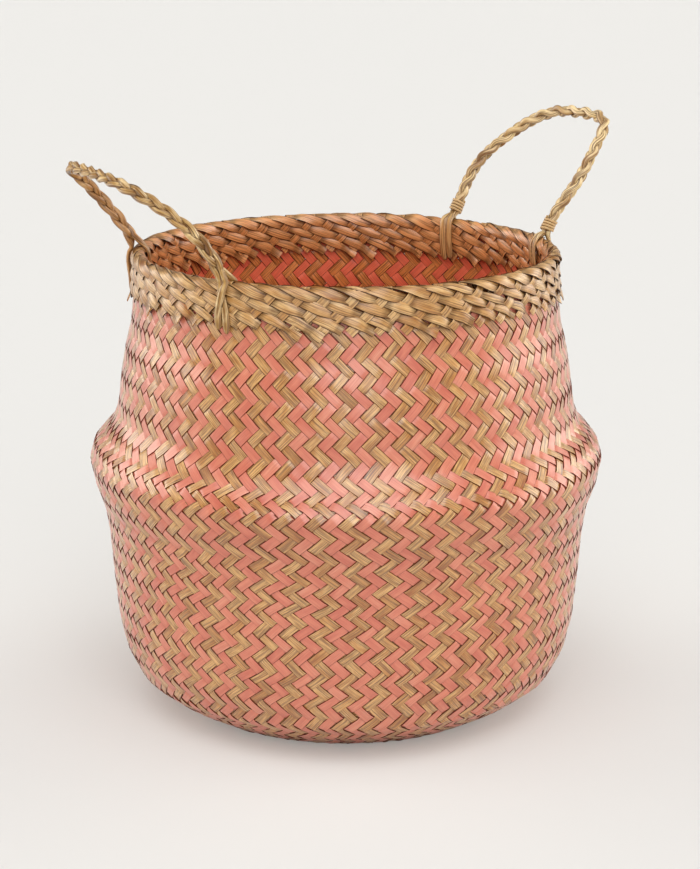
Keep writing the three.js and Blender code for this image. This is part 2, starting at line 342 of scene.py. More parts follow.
def joined(name, blades, crisp_angle=None):
    """One piece at the origin, facing outwards, smooth up to the angle of its crisp edges."""
    bpy.ops.object.select_all(action="DESELECT")
    for blade in blades:
        blade.select_set(True)
    bpy.context.view_layer.objects.active = blades[0]
    if len(blades) > 1:
        bpy.ops.object.join()
    piece = bpy.context.object
    piece.name = name
    piece.data.name = name
    bpy.ops.object.mode_set(mode="EDIT")
    bpy.ops.mesh.select_all(action="SELECT")
    bpy.ops.mesh.normals_make_consistent(inside=False)
    bpy.ops.object.mode_set(mode="OBJECT")
    if crisp_angle:
        bpy.ops.object.shade_smooth_by_angle(angle=math.radians(crisp_angle))
    else:
        bpy.ops.object.shade_smooth()
    piece.data.calc_loop_triangles()
    print(name, "has", len(piece.data.loop_triangles), "triangles")
    return piece


# %% [markdown]
# ## How the plaiting runs
# The body is a diagonal twill. 104 strips lean one way and 104 the other, and each goes over two and under
# two. The crossings lie in level rows, so the eye reads upright zigzags. Every second strip is dyed, which
# colours every second zigzag. A basket like this starts as a flat rectangular mat, and each strip of the
# mat rises up the wall at both its ends. So the strips are counted on a flat grid of (x, y) half steps:
# inside the mat's rectangle a place is a place on the base, and outside it is a place on the wall, as a
# bearing and a row.

# %% The grid of the plaiting
STRIPS_EACH_WAY = 104
HALF_STEP = math.pi / STRIPS_EACH_WAY
HALF_STEPS_ROUND = 2 * STRIPS_EACH_WAY
MAT_HALF_X = 25
MAT_HALF_Y = 27
MAT_EXCESS = MAT_HALF_Y - MAT_HALF_X
MAT_STEP = 4.67 * MM
LAST_ROW = 97

# The mat's four sides, with the middle and half the length of each in half steps.
FRONT, RIGHT, BACK, LEFT = range(4)
SIDE_MIDDLES = 1 + np.arange(4) * STRIPS_EACH_WAY // 2
SIDE_HALVES = np.array([MAT_HALF_X, MAT_HALF_Y, MAT_HALF_X, MAT_HALF_Y])

# Rows counted from the middle of the base, and how far up the outline each lies.
ROW_COUNTS = [
    0, 26, 33.94, 38.8, 43.4, 48.4, 53.57, 58.78, 63.3, 67.88, 72.38, 76.7, 81.03, 85.21, 89.2, 91.33, 98,
]
ROW_REACHES = [
    0, 139.6, 178.5, 198.5, 218.5, 238.5, 258.5, 278.5, 298.5, 318.5, 338.5, 358.5, 378.5, 398.5, 418.5,
    428.5, 461.2,
]
# The zigzags drift sideways a little on their way up, in half steps.
DRIFT_REACHES = [100, 168, 188, 218, 258, 278, 308, 348, 388, 428, 461]
DRIFTS = [1.1, 1.1, 0.58, -0.12, -0.47, -0.44, 0.05, 0.61, 1.08, 2.0, 2.3]

# The rows over which the rectangle turns into rings, and over which the mat's even steps give way to the
# wall's rows.
ROUNDING_ROWS = (8, 27)
RISING_ROWS = (10, 36)

# The rows wander a little, round the basket and up it, and less above the belly.
WANDER_ROUND = 0.16 * HALF_STEP
WANDER_UP = 0.5 * MM
ROUND_SEED = 5
UP_SEED = 6
CALM_REACHES = (270 * MM, 310 * MM)
CALM_SHARE = 0.35


def ripple(bearing, reach, seed, size):
    """A smooth wander of about the given size, the same on every run."""
    random = np.random.default_rng(seed)
    total = np.zeros(np.broadcast(bearing, reach).shape)
    for _ in range(7):
        turns = random.integers(2, 17)
        climb = random.uniform(20, 110)
        phase = random.uniform(0, 2 * math.pi)
        total = total + np.sin(turns * bearing + climb * reach + phase)
    return total * size / 2


# %% From a place on the grid to a place on the basket
def grid_place(x, y, side):
    """Bearing, reach, row and side of grid places. side is where the strip leaves the mat."""
    inside = (np.abs(x) <= MAT_HALF_X) & (np.abs(y) <= MAT_HALF_Y)
    rows = np.stack([-y, x + MAT_EXCESS, y, -x + MAT_EXCESS])
    nearest = np.where(inside, np.argmax(rows, 0), side)
    pick = (nearest, np.arange(len(x)))
    row = rows[pick]
    offset = np.stack([x, y, -x, -y])[pick]
    level_width = np.maximum(np.where(nearest % 2 == 0, row - MAT_EXCESS, row), 0.5)
    squared = np.where(inside, offset * SIDE_HALVES[nearest] / level_width, offset)
    around = SIDE_MIDDLES[nearest] + squared
    wall_bearing = around * HALF_STEP + FRONT_BEARING
    mat_bearing = np.arctan2(y, x) + HALF_STEP
    between = wrapped(wall_bearing - mat_bearing, 2 * math.pi)
    mat_turned = mat_bearing + between * eased(row, *ROUNDING_ROWS)
    bearing = np.where(inside, mat_turned, wall_bearing)
    # On the wall, the nearest side of the mat gives how far out its edge lies.
    from_middles = wrapped(around - SIDE_MIDDLES[:, None], HALF_STEPS_ROUND)
    wall_side = np.argmin(np.abs(from_middles) - SIDE_HALVES[:, None], 0)
    wall_offset = from_middles[wall_side, pick[1]]
    edge = np.where(wall_side % 2 == 0, MAT_HALF_Y, MAT_HALF_X)
    flat_wall = MAT_STEP * (np.hypot(wall_offset, edge) + row - MAT_HALF_Y)
    flat = np.where(inside, MAT_STEP * np.hypot(x, y), flat_wall)
    level = np.interp(row, ROW_COUNTS, ROW_REACHES) * MM
    reach = flat + (level - flat) * eased(row, *RISING_ROWS)
    bearing = bearing - np.interp(reach / MM, DRIFT_REACHES, DRIFTS) * HALF_STEP
    unruly = CALM_SHARE + (1 - CALM_SHARE) * (1 - eased(reach, *CALM_REACHES))
    bearing = bearing + ripple(bearing, reach, ROUND_SEED, WANDER_ROUND) * unruly
    reach = reach + ripple(bearing, reach, UP_SEED, WANDER_UP) * unruly
    return bearing, reach, row, nearest


# %% [markdown]
# ## Laying the body's strips
# Each strip is laid from the middle of the mat to the rim, because its two halves rise on different sides.
# On the grid it is a straight line, which falls or rises towards +X. At a crossing it is either over or
# under, and between two crossings it keeps its height and then dips quickly, which is what gives each
# visible float its flat top and dark ends.

# %% Which strips leave the mat where
FALLING = -1
RISING = 1


def leaves_mat(slope, number, outbound):
    """The side by which a strip leaves the mat, towards +X if it is outbound."""
    constant = 2 * number - 1
    if outbound:
        if constant > -MAT_EXCESS:
            return RIGHT
        return FRONT if slope == FALLING else BACK
    if slope == FALLING:
        return BACK if constant > MAT_EXCESS else LEFT
    return LEFT if constant < MAT_EXCESS else FRONT


def x_at_row(slope, number, side, row):
    """The X at which a strip is so many rows out on one side."""
    if side == RIGHT:
        return row - MAT_EXCESS
    if side == LEFT:
        return MAT_EXCESS - row
    return 2 * number - 1 + slope * (row if side == BACK else -row)


def is_dyed(slope, number, side):
    """Every second strip is dyed. From side to side the count of the strips changes between odd and even."""
    shifted_sides = (RIGHT, BACK) if slope == FALLING else (BACK, LEFT)
    return (number + (side in shifted_sides)) % 2 == 0


def leans_left(slope, side):
    """Whether a strip leans left up the wall, seen from outside."""
    return side % 2 == (1 if slope == FALLING else 0)


def strip_stations(slope, number, outbound):
    """Grid places of a half strip, three for each crossing, and the crossing that each one belongs to."""
    sides = {way: leaves_mat(slope, number, way) for way in (True, False)}
    mat_ends = [x_at_row(slope, number, side, MAT_HALF_Y) for side in sides.values()]
    middle = int(round(sum(mat_ends) / 2))
    step = 1 if outbound else -1
    end = x_at_row(slope, number, sides[outbound], LAST_ROW)
    crossings = np.arange(middle, end + step, step, dtype=float)
    x = (crossings[:, None] + step * np.array([-0.3, 0, 0.3])).ravel()[1:-1]
    crossing_x = np.repeat(crossings, 3)[1:-1]
    y, crossing_y = (slope * (places - 2 * number + 1) for places in (x, crossing_x))
    return x, y, crossing_x, crossing_y


# %% Lay one strip
OVER_LIFT = 0.52 * MM
FLOAT_MIDDLE = 1.08
FLOAT_END = 0.92
STRIP_HALF_DEPTH = 0.4 * MM
STRIP_WANDER = 0.14 * MM
STRIP_ROLL = math.radians(3.5)
SPACING_LIMITS = (4.6 * MM, 7.4 * MM)
SPACING_SMOOTHED_OVER = 11
BESIDE = 0.1

# How much of its room a strip fills, and how uneven it is.
DYED_WIDTH = (1.01, 0.012)
NATURAL_WIDTH = (0.985, 0.03)
MOST_WIDTH = 1.035

dice = np.random.default_rng(11)


def wave(along, shortest, longest):
    """A wave along a strip. The dice choose its length and its start."""
    return np.sin(along / dice.uniform(shortest, longest) + dice.uniform(0, 6))


def room_for_strip(x, y, slope, side, tangent):
    """The width between a strip's neighbours, from two places just beside each of its stations."""
    first, second = (
        body.at(*grid_place(x + beside, y - slope * beside, side)[:2])[0] for beside in (BESIDE, -BESIDE)
    )
    gap = first - second
    gap = gap - tangent * np.sum(gap * tangent, -1, keepdims=True)
    spacing = np.clip(np.linalg.norm(gap, axis=-1) / (2 * BESIDE), *SPACING_LIMITS)
    padded = np.pad(spacing, SPACING_SMOOTHED_OVER // 2, mode="edge")
    weights = np.ones(SPACING_SMOOTHED_OVER) / SPACING_SMOOTHED_OVER
    return np.convolve(padded, weights, mode="valid")


def lay_strip(slope, number, outbound):
    """One half strip, its dye and the way it leans."""
    side = leaves_mat(slope, number, outbound)
    x, y, crossing_x, crossing_y = strip_stations(slope, number, outbound)
    bearing, reach, _, _ = grid_place(x, y, side)
    _, _, crossing_row, crossing_side = grid_place(crossing_x, crossing_y, side)
    over = (np.mod(crossing_row, 4) < 1.5) == leans_left(slope, crossing_side)
    level = np.where(over, 1.0, -1.0)
    steady = (np.roll(level, 1) == level) & (np.roll(level, -1) == level)
    lift = level * OVER_LIFT * np.where(steady, FLOAT_MIDDLE, FLOAT_END)
    route, outward = body.at(bearing, reach, lift)
    tangent = tangents(route)
    room = room_for_strip(x, y, slope, side, tangent)
    dyed = is_dyed(slope, number, side)
    filled, uneven = DYED_WIDTH if dyed else NATURAL_WIDTH
    share = min(dice.normal(filled, uneven), MOST_WIDTH)
    along = distances(route) / MM
    waver = wave(along, 11, 19) + wave(along, 4, 8)
    half_width = 0.5 * room * share * (1 + uneven * waver)
    wander = STRIP_WANDER * wave(along, 6, 14)
    route = route + unit(np.cross(outward, tangent)) * column(wander)
    outward = rolled(route, outward, STRIP_ROLL * wave(along, 7, 12))
    tone = (dice.random(), dice.random())
    blade = laid_blade(route, outward, half_width, STRIP_HALF_DEPTH, tone, shade=UNDERSIDE)
    return blade, "dyed" if dyed else "natural", "left" if leans_left(slope, side) else "right"


# %% Lay all the body's strips, sorted by dye and by lean
QUARTER = STRIPS_EACH_WAY // 4

strips = {}
for slope in (FALLING, RISING):
    for number in range(1 - QUARTER, 1 + QUARTER):
        for outbound in (True, False):
            blade, dye, lean = lay_strip(slope, number, outbound)
            strips.setdefault((dye, lean), []).append(blade)
print({key: len(value) for key, value in strips.items()})

wall_pieces = {
    (dye, lean): joined(f"{dye}_strips_leaning_{lean}", strips[(dye, lean)], CRISP_ANGLE)
    for dye in ("dyed", "natural")
    for lean in ("left", "right")
}

# %% [markdown]
# ## The border round the mouth
# The border is plaited from undyed strips alone. Long shallow strips wind over the rim from the outside to
# the inside, and short steep ones tie them down, one over and one under. The shallow strips end outside
# and inside as cut tongues. The same blank serves, laid on a second outline that goes up the outer face,
# over the rim and down the inner face.

# %% The border's outline and its rhythm
BORDER_OUTLINE = [
    (149.2, 286.5), (148.0, 296.5), (146.9, 309), (146.7, 317.5), (146.6, 320.4), (145.3, 322.3),
    (143.3, 322.9), (141.3, 322.3), (140.0, 320.4), (139.9, 317.5), (140.6, 309), (142.4, 296.5),
    (143.9, 288.0),
]
BORDER_START = -10.07 * MM
BORDER_SOFTNESS = 0.9 * MM
BORDER_STRIPS = 52
BORDER_STEP = 2 * math.pi / BORDER_STRIPS
BORDER_RADIUS = 145 * MM
RIM_TURN = 5 * MM

# How fast the two kinds of strip climb, and the shallow ones' cut ends.
SHALLOW = 0.36
STEEP = 1.0
TONGUE = 0.62
FIRST_CROSSING = 5.2 * MM
CROSSING_RISE = BORDER_RADIUS * BORDER_STEP / (1 / SHALLOW + 1 / STEEP)

border = TurnedForm(BORDER_OUTLINE, BORDER_START, BORDER_SOFTNESS, 0)
border_end = border.reach[-1]
BORDER_TOP = float(border.reach[np.argmax(border.height)])
print("border length over the rim", round(border_end / MM, 1), "mm")


def crossing_wave(reach):
    """1 where the shallow strips are on top, -1 where the steep ones are."""
    return np.cos((reach - FIRST_CROSSING) / CROSSING_RISE * math.pi)


def rim_turn(reach):
    """Near the rim the shallow strips run more level and the steep ones go straight over."""
    return RIM_TURN * np.tanh((reach - BORDER_TOP) / RIM_TURN)


def share_inside(reach):
    """0 on the outer face and 1 on the inner one."""
    return eased(reach, BORDER_TOP, BORDER_TOP + RIM_TURN)


# %% The border's two sets of strips
SHALLOW_STATIONS = 61
SHALLOW_HALF_DEPTH = 0.42 * MM
SHALLOW_CRISP_ANGLE = 50
STEEP_STATIONS = 51
STEEP_HALF_DEPTH = 0.4 * MM
CREASE_SHADE_DEPTH = 0.5


def shallow_strip(index):
    """A long strip, from its tongue on the outer face to the one on the inner face."""
    start = dice.uniform(-5.5, 2.0) * MM
    end = border_end - dice.uniform(4.0, 9.0) * MM
    reach = np.linspace(start, end, SHALLOW_STATIONS)
    straight = np.clip(reach, FIRST_CROSSING, border_end - 13 * MM)
    run = straight / SHALLOW + (reach - straight) / TONGUE
    bearing = (index + dice.normal(0, 0.09)) * BORDER_STEP
    bearing = bearing - (run + rim_turn(reach)) / BORDER_RADIUS
    crossing = crossing_wave(reach)
    loose = 1 - eased(reach, -3 * MM, 3 * MM) + eased(reach, border_end - 11 * MM, border_end - 5 * MM)
    lift = (0.35 + 0.65 * crossing + loose * dice.uniform(0.3, 1.5)) * MM
    lift = lift + dice.uniform(0, 0.9) * MM * bell(reach, BORDER_TOP, 4 * MM)
    full = dice.normal(3.5, 0.4)
    half_width = (full - 0.25 + 0.25 * crossing + 0.22 * wave(reach / MM, 2.5, 4.5)) * MM
    swing = dice.uniform(0.3, 0.9) * MM / BORDER_RADIUS
    bearing = bearing + swing * np.sin(reach / MM / 7 + dice.uniform(0, 6))
    route, outward = border.at(bearing, reach, lift)
    tone = (dice.random(), dice.random())
    inside = share_inside(reach)
    lean = math.radians(dice.uniform(5, 11)) * (1 - 2 * inside)
    lean = lean + math.radians(4) * wave(reach / MM, 3, 6)
    outward = rolled(route, outward, lean)
    # Painted shade where this strip dips under a steep one.
    crease_shade = CREASE_SHADE_DEPTH * (1 - eased(crossing, -0.35, -0.1))
    return laid_blade(route, outward, half_width, SHALLOW_HALF_DEPTH, tone, squareness=0.3, shade=inside,
                      crease_shade=crease_shade)


def steep_strip(index):
    """A short strip that ties the shallow ones down."""
    reach = np.linspace(-1.5 * MM, border_end - 9 * MM, STEEP_STATIONS)
    bearing = (index - FIRST_CROSSING / CROSSING_RISE + dice.normal(0, 0.05)) * BORDER_STEP
    bearing = bearing + (reach / STEEP - rim_turn(reach)) / BORDER_RADIUS
    crossing = crossing_wave(reach)
    uneven = wave(reach / MM, 2.5, 4.5)
    half_width = (dice.normal(3.3, 0.3) + 0.15 * uneven) * MM
    route, outward = border.at(bearing, reach, (0.15 - 0.75 * crossing) * MM)
    outward = rolled(route, outward, math.radians(dice.uniform(-6, 6)))
    # Painted shade where this strip dips under the shallow ones.
    crease_shade = CREASE_SHADE_DEPTH * eased(crossing, 0.0, 0.25)
    tone = (dice.random(), dice.random())
    return laid_blade(route, outward, half_width, STEEP_HALF_DEPTH, tone, shade=share_inside(reach),
                      crease_shade=crease_shade)


shallow_strips = [shallow_strip(index) for index in range(BORDER_STRIPS)]
shallow_border = joined("border_shallow_strips", shallow_strips, SHALLOW_CRISP_ANGLE)
steep_strips = [steep_strip(index) for index in range(BORDER_STRIPS)]
steep_border = joined("border_steep_strips", steep_strips, CRISP_ANGLE)

# %% [markdown]
# ## The plaited handles
# Each handle is a plait of three strands, and each strand is a few blades folded together. It could be
# three curves with a bevel, but the strands have to turn from round to flat where they part over the rim,
# so they are laid like the strips, from a blank with more flats. The middle line of each handle is the same
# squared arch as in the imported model. At each foot the strands leave the plait and run down the border's
# faces as flat tails.

# %% The arches that the handles follow
RIM_RADIUS = 143.3 * MM
HINGE_HEIGHT = 319.2 * MM
ARCH_POINTS = 1200

# Angles are in degrees and lengths in mm. plait and strand are each half a width and half a depth, and part
# is how far up the arch the strands come together.
HANDLES = {
    "left": SimpleNamespace(
        bearings=(178, 238), lean=23, height=84, bow=26, sway=-20, squareness=3.6, bulge=0.06, squeeze=0,
        turns=(274, 274), pitch=43, part=13, plait=(2.35, 1.6), strand=(2.1, 1.75), tones=0.2,
        far_shade=0.75,
    ),
    "right": SimpleNamespace(
        bearings=(15.6, 57.6), lean=24, height=104, bow=24, sway=-19, squareness=3.5, bulge=0.1,
        squeeze=0.22, turns=(318, 212), pitch=41, part=8.5, plait=(2.5, 1.95), strand=(1.75, 2.2), tones=1,
        far_shade=0,
    ),
}


def foot_frame(bearing):
    """A foot's place on the rim, the way out from the basket's axis, and the way along the rim."""
    angle = math.radians(bearing)
    out = np.array([math.cos(angle), math.sin(angle), 0])
    along = np.array([-math.sin(angle), math.cos(angle), 0])
    return RIM_RADIUS * out + np.array([0, 0, HINGE_HEIGHT]), out, along


def arch(handle):
    """Even points on the middle line, how far along it they lie, and the handle's span, rise and hinge."""
    start, end = (foot_frame(bearing)[0] for bearing in handle.bearings)
    middle = (start + end) / 2
    half_span = np.linalg.norm(end - start) / 2
    across = unit(end - start)
    outward = unit(middle * (1, 1, 0))
    lean = math.radians(handle.lean)
    rise = outward * math.sin(lean) + np.array([0, 0, math.cos(lean)])
    angle = np.linspace(0, math.pi, ARCH_POINTS)
    power = 2 / handle.squareness
    share = np.abs(np.sin(angle)) ** power
    side = -np.sign(np.cos(angle)) * np.abs(np.cos(angle)) ** power
    swell = 1 + handle.bulge * np.sin(math.pi * share) ** 4
    points = middle + across * column(half_span * side * swell + handle.sway * MM * share**2)
    points = points + rise * column(handle.height * MM * share)
    points = points + np.cross(across, rise) * column(handle.bow * MM * share**2)
    distance = distances(points)
    even = np.linspace(0, distance[-1], ARCH_POINTS)
    return read_along(even, distance, points), even, across, rise, middle


def carried_frame(points, first):
    """A sideways direction that is carried along the line without twisting, and the one square to both."""
    sideways = np.empty_like(points)
    current = first
    for index, tangent in enumerate(tangents(points)):
        current = unit(current - tangent * np.dot(current, tangent))
        sideways[index] = current
    return sideways, np.cross(tangents(points), sideways)


# %% The strands in the plait
POINTS_APART = 8


def plait_strands(handle):
    """Three routes through the plait, and its middle line with its wide and its deep direction."""
    points, distance, across, rise, hinge = arch(handle)
    sideways, flatways = carried_frame(points, across)
    total = distance[-1]
    first, last = (math.radians(turn) for turn in handle.turns)
    turn = column(first + (last - first) * eased(distance / total, 0.25, 0.7))
    wide = sideways * np.cos(turn) + flatways * np.sin(turn)
    deep = flatways * np.cos(turn) - sideways * np.sin(turn)
    half_width, half_depth = (size * MM for size in handle.plait)
    whippings = bell(distance, 15 * MM, 7 * MM) + bell(distance, total - 15 * MM, 7 * MM)
    squeeze = 1 - handle.squeeze * whippings
    keep = (distance > handle.part * MM) & (distance < total - handle.part * MM)
    routes = []
    for strand in range(3):
        phase = 2 * math.pi * (distance / (handle.pitch * MM) + strand / 3)
        loose = 1 + 0.05 * np.sin(distance / MM / 13 + strand * 2.1)
        offset = wide * column(half_width * squeeze * loose * np.sin(phase))
        offset = offset + deep * column(half_depth * squeeze * np.sin(2 * phase))
        routes.append(list(np.hstack([points + offset, deep])[keep][::POINTS_APART]))
    return routes, rise, hinge, (points, distance, wide, deep)


# %% The tails on the border's faces
# Each foot's tails: outside or not, sideways places at the top and at the end, drop and lift, in mm.
FOOT_TAILS = {
    ("left", 0): [(True, -1.6, -5.2, 24, 0.2), (True, 1.6, 0.6, 26.5, 1.6), (False, 0.4, -4.5, 15, 0)],
    ("left", 1): [(True, 2.2, -3.4, 26.5, 1.9), (True, -2, 3.2, 28.5, 0), (False, 1.6, 5.5, 15, 0)],
    ("right", 0): [(True, 0.6, 4.2, 19, 0.2), (False, -1.9, -3.6, 19, 0), (False, 2.2, 0.8, 15, 0.8)],
    ("right", 1): [(True, 0.2, -2.2, 20, 0.2), (False, -2.2, -2.4, 24.5, 0), (False, 2.1, 2, 26, 0.4)],
}
TAIL_TOP = 6.0


def tail_rows(bearing, outside, top_shift, foot_shift, drop, lift):
    """A flat tail's places and outward directions, from above the rim down one face of the border."""
    foot, out, along = foot_frame(bearing)
    if outside:
        profile = [(5.4, 5.0), (6.2, 1.0), (6.5, -4.0), (6.6, -10.0), (6.9, -17.0), (6.6, -drop)]
    else:
        profile = [(-3.6, 5.4), (-5.9, 1.8), (-6.5, -3.5), (-6.4, -9.0), (-5.8, -14.0), (-3.6, -drop)]
    sign = 1 if outside else -1
    rows = []
    for step, (outward, up) in enumerate(profile):
        share = eased((TAIL_TOP - up) / (TAIL_TOP + drop * 0.75), 0, 1)
        shift = top_shift + (foot_shift - top_shift) * share
        raised = lift * math.sin(math.pi * min(1, step / 4))
        place = out * (outward + sign * raised) + along * shift + np.array([0, 0, up])
        rows.append(np.concatenate([foot + place * MM, out * sign]))
    return rows


def add_tails(routes, name):
    """Lengthens each strand at both ends. The strands that lie furthest out take the outer tails."""
    for foot, bearing in enumerate(HANDLES[name].bearings):
        _, out, along = foot_frame(bearing)
        tips = [route[-foot] for route in routes]
        tails = FOOT_TAILS[(name, foot)]
        order = sorted(range(3), key=lambda k: -np.dot(tips[k][:3], out))
        outer_count = sum(tail[0] for tail in tails)
        for outside, members in ((True, order[:outer_count]), (False, order[outer_count:])):
            # On one face the tails lie side by side, in the order in which the strands come.
            members = sorted(members, key=lambda k: np.dot(tips[k][:3], along))
            places = sorted((tail for tail in tails if tail[0] == outside), key=lambda tail: tail[1])
            for member, tail in zip(members, places):
                rows = tail_rows(bearing, *tail)
                if np.dot(tips[member][3:], rows[0][3:]) < 0:
                    for row in rows:
                        row[3:] *= -1
                routes[member] = routes[member] + rows if foot else rows[::-1] + routes[member]


# %% Lay the two handles
STRAND_SIDES = 16
STRAND_SPACING = 1.5 * MM
STRAND_GROOVES = 0.07
TAIL_HALF_WIDTH = 2.7 * MM
TAIL_HALF_DEPTH = 1.15 * MM
CURVE_PARTS = 12


def smooth_line(points, spacing):
    """A smooth line through rows of numbers whose first three are a place, at an even spacing."""
    points = np.array(points)
    padded = np.vstack([2 * points[0] - points[1], points, 2 * points[-1] - points[-2]])
    share = column(np.linspace(0, 1, CURVE_PARTS, endpoint=False))
    line = []
    for before, here, after, beyond in zip(padded, padded[1:], padded[2:], padded[3:]):
        line.append(0.5 * (2 * here + (after - before) * share
                           + (2 * before - 5 * here + 4 * after - beyond) * share**2
                           + (3 * here - before - 3 * after + beyond) * share**3))
    line = np.vstack([*line, points[-1]])
    distance = distances(line[:, :3])
    stations = CURVE_PARTS * int(distance[-1] / spacing / CURVE_PARTS) + 1
    return read_along(np.linspace(0, distance[-1], stations), distance, line)


def paint_crease_shade(blades, lines, touching):
    """Marks painted shade where a strand comes close to another one, where little light reaches."""
    for index, blade in enumerate(blades):
        places = read_all(blade.data.vertices, "co", width=3)
        others = np.vstack([line for other, line in enumerate(lines) if other != index])
        nearest = np.linalg.norm(places[:, None] - others[None, ::2], axis=-1).min(axis=1)
        crease_shade = 1 - eased(nearest, touching + 0.1 * MM, touching + 0.7 * MM)
        blade.data.attributes["crease_shade"].data.foreach_set("value", crease_shade)


def lay_handle(name):
    """One handle's plait with its tails. The strands are round on the arch and flat on the border."""
    handle = HANDLES[name]
    routes, rise, hinge, plait = plait_strands(handle)
    add_tails(routes, name)
    strand_width, strand_depth = (size * MM for size in handle.strand)
    blades = []
    lines = []
    for route in routes:
        line = smooth_line(route, STRAND_SPACING)
        places = line[:, :3]
        flat = 1 - eased(np.dot(places - hinge, rise), -1 * MM, 12 * MM)
        tip = np.minimum(np.arange(len(line)), np.arange(len(line))[::-1]) * STRAND_SPACING
        taper = 0.35 + 0.65 * np.sqrt(np.clip(tip / (5 * MM), 0, 1))
        half_width = (strand_width + (TAIL_HALF_WIDTH - strand_width) * flat) * taper
        half_depth = (strand_depth + (TAIL_HALF_DEPTH - strand_depth) * flat) * taper
        tone = (dice.random() * handle.tones, dice.random())
        # The far part of the left handle and the tails inside the border are in shade.
        far = eased(places[:, 1] - hinge[1], 20 * MM, 60 * MM)
        inner = eased(142 * MM - np.hypot(places[:, 0], places[:, 1]), 0, 4 * MM)
        low = 1 - eased(places[:, 2], 320 * MM, 327 * MM)
        shade = np.maximum(handle.far_shade * far, 0.9 * inner * low)
        blades.append(laid_blade(places, line[:, 3:], half_width, half_depth, tone, sides=STRAND_SIDES,
                                 squareness=ROUND, grooves=STRAND_GROOVES, shade=shade))
        lines.append(places)
    paint_crease_shade(blades, lines, (strand_width + strand_depth) / 2)
    return joined(f"{name}_handle_plait", blades), rise, hinge, plait


left_plait, left_rise, left_hinge, _ = lay_handle("left")
right_plait, right_rise, right_hinge, right_line = lay_handle("right")

# %% [markdown]
# ## The whippings
# On the right handle a thin strand is wound a few times round the plait above each foot, to keep it from
# opening. A Screw modifier would wind a straight coil. This one follows the handle's curve, so it is laid
# from the blank too, as one narrow strip that starts and ends against the plait.

# %% Wind the two whippings
WHIPPING_TURNS = 4.3
WHIPPING_PITCH = 2.05 * MM
WHIPPING_FOOT = 10.8 * MM
WHIPPING_STATIONS = 109
WHIPPING_HALF_WIDTH = 0.95 * MM
WHIPPING_HALF_DEPTH = 0.42 * MM
WHIPPING_TONE = 0.4


def whipping(name, from_start):
    points, distance, wide, deep = right_line
    share = np.linspace(0, 1, WHIPPING_STATIONS)
    place = WHIPPING_FOOT + share * WHIPPING_TURNS * WHIPPING_PITCH
    if not from_start:
        place = distance[-1] - place
    centre, across, through = (read_along(place, distance, rows) for rows in (points, wide, deep))
    turn = 2 * math.pi * WHIPPING_TURNS * share
    tuck = np.minimum(1, np.minimum(share, 1 - share) / 0.04)
    radius = (4.0 + 0.5 * tuck + 0.12 * np.sin(turn * 1.7)) * MM
    outward = unit(across) * column(np.cos(turn)) + unit(through) * column(np.sin(turn))
    route = centre + outward * column(radius)
    tone = (WHIPPING_TONE, dice.random())
    blade = laid_blade(route, outward, WHIPPING_HALF_WIDTH, WHIPPING_HALF_DEPTH, tone, squareness=0.5)
    return joined(name, [blade])


front_whipping = whipping("right_front_whipping_strand", True)
back_whipping = whipping("right_back_whipping_strand", False)

# %% [markdown]
# ## Finishes
# Dried grass is matt, with fine lines along each blade and paler and darker blades side by side. The thin
# dark edges, the dark creases and the shaded sides are painted shade, where light doesn't reach. One node
# group makes those lines from the blade's own UV map, in which U is the length along the blade and V runs
# across it. The dyed and the natural strips use the same group with their own colours. A thin coat gives the
# soft shine, and the group keeps it off the painted shade.

# %% Node helpers
def feed(tree, node, inputs):
    """Gives each input its value, or the output that it follows."""
    for key, value in inputs.items():
        if isinstance(value, bpy.types.NodeSocket):
            tree.links.new(value, node.inputs[key])
        else:
            node.inputs[key].default_value = value


def add_node(tree, kind, inputs=None, **settings):
    node = tree.nodes.new(kind)
    for name, value in settings.items():
        setattr(node, name, value)
    feed(tree, node, inputs or {})
    return node


def maths(tree, operation, *values):
    return add_node(tree, "ShaderNodeMath", dict(enumerate(values)), operation=operation).outputs[0]


def linear(red, green, blue):
    """A colour that is written as it looks on a screen, from 0 to 255."""
    values = []
    for value in (red, green, blue):
        value = value / 255
        values.append(value / 12.92 if value <= 0.04045 else ((value + 0.055) / 1.055) ** 2.4)
    return (*values, 1)


# %% The group that draws a blade's lines
SEED_SHIFT = 37


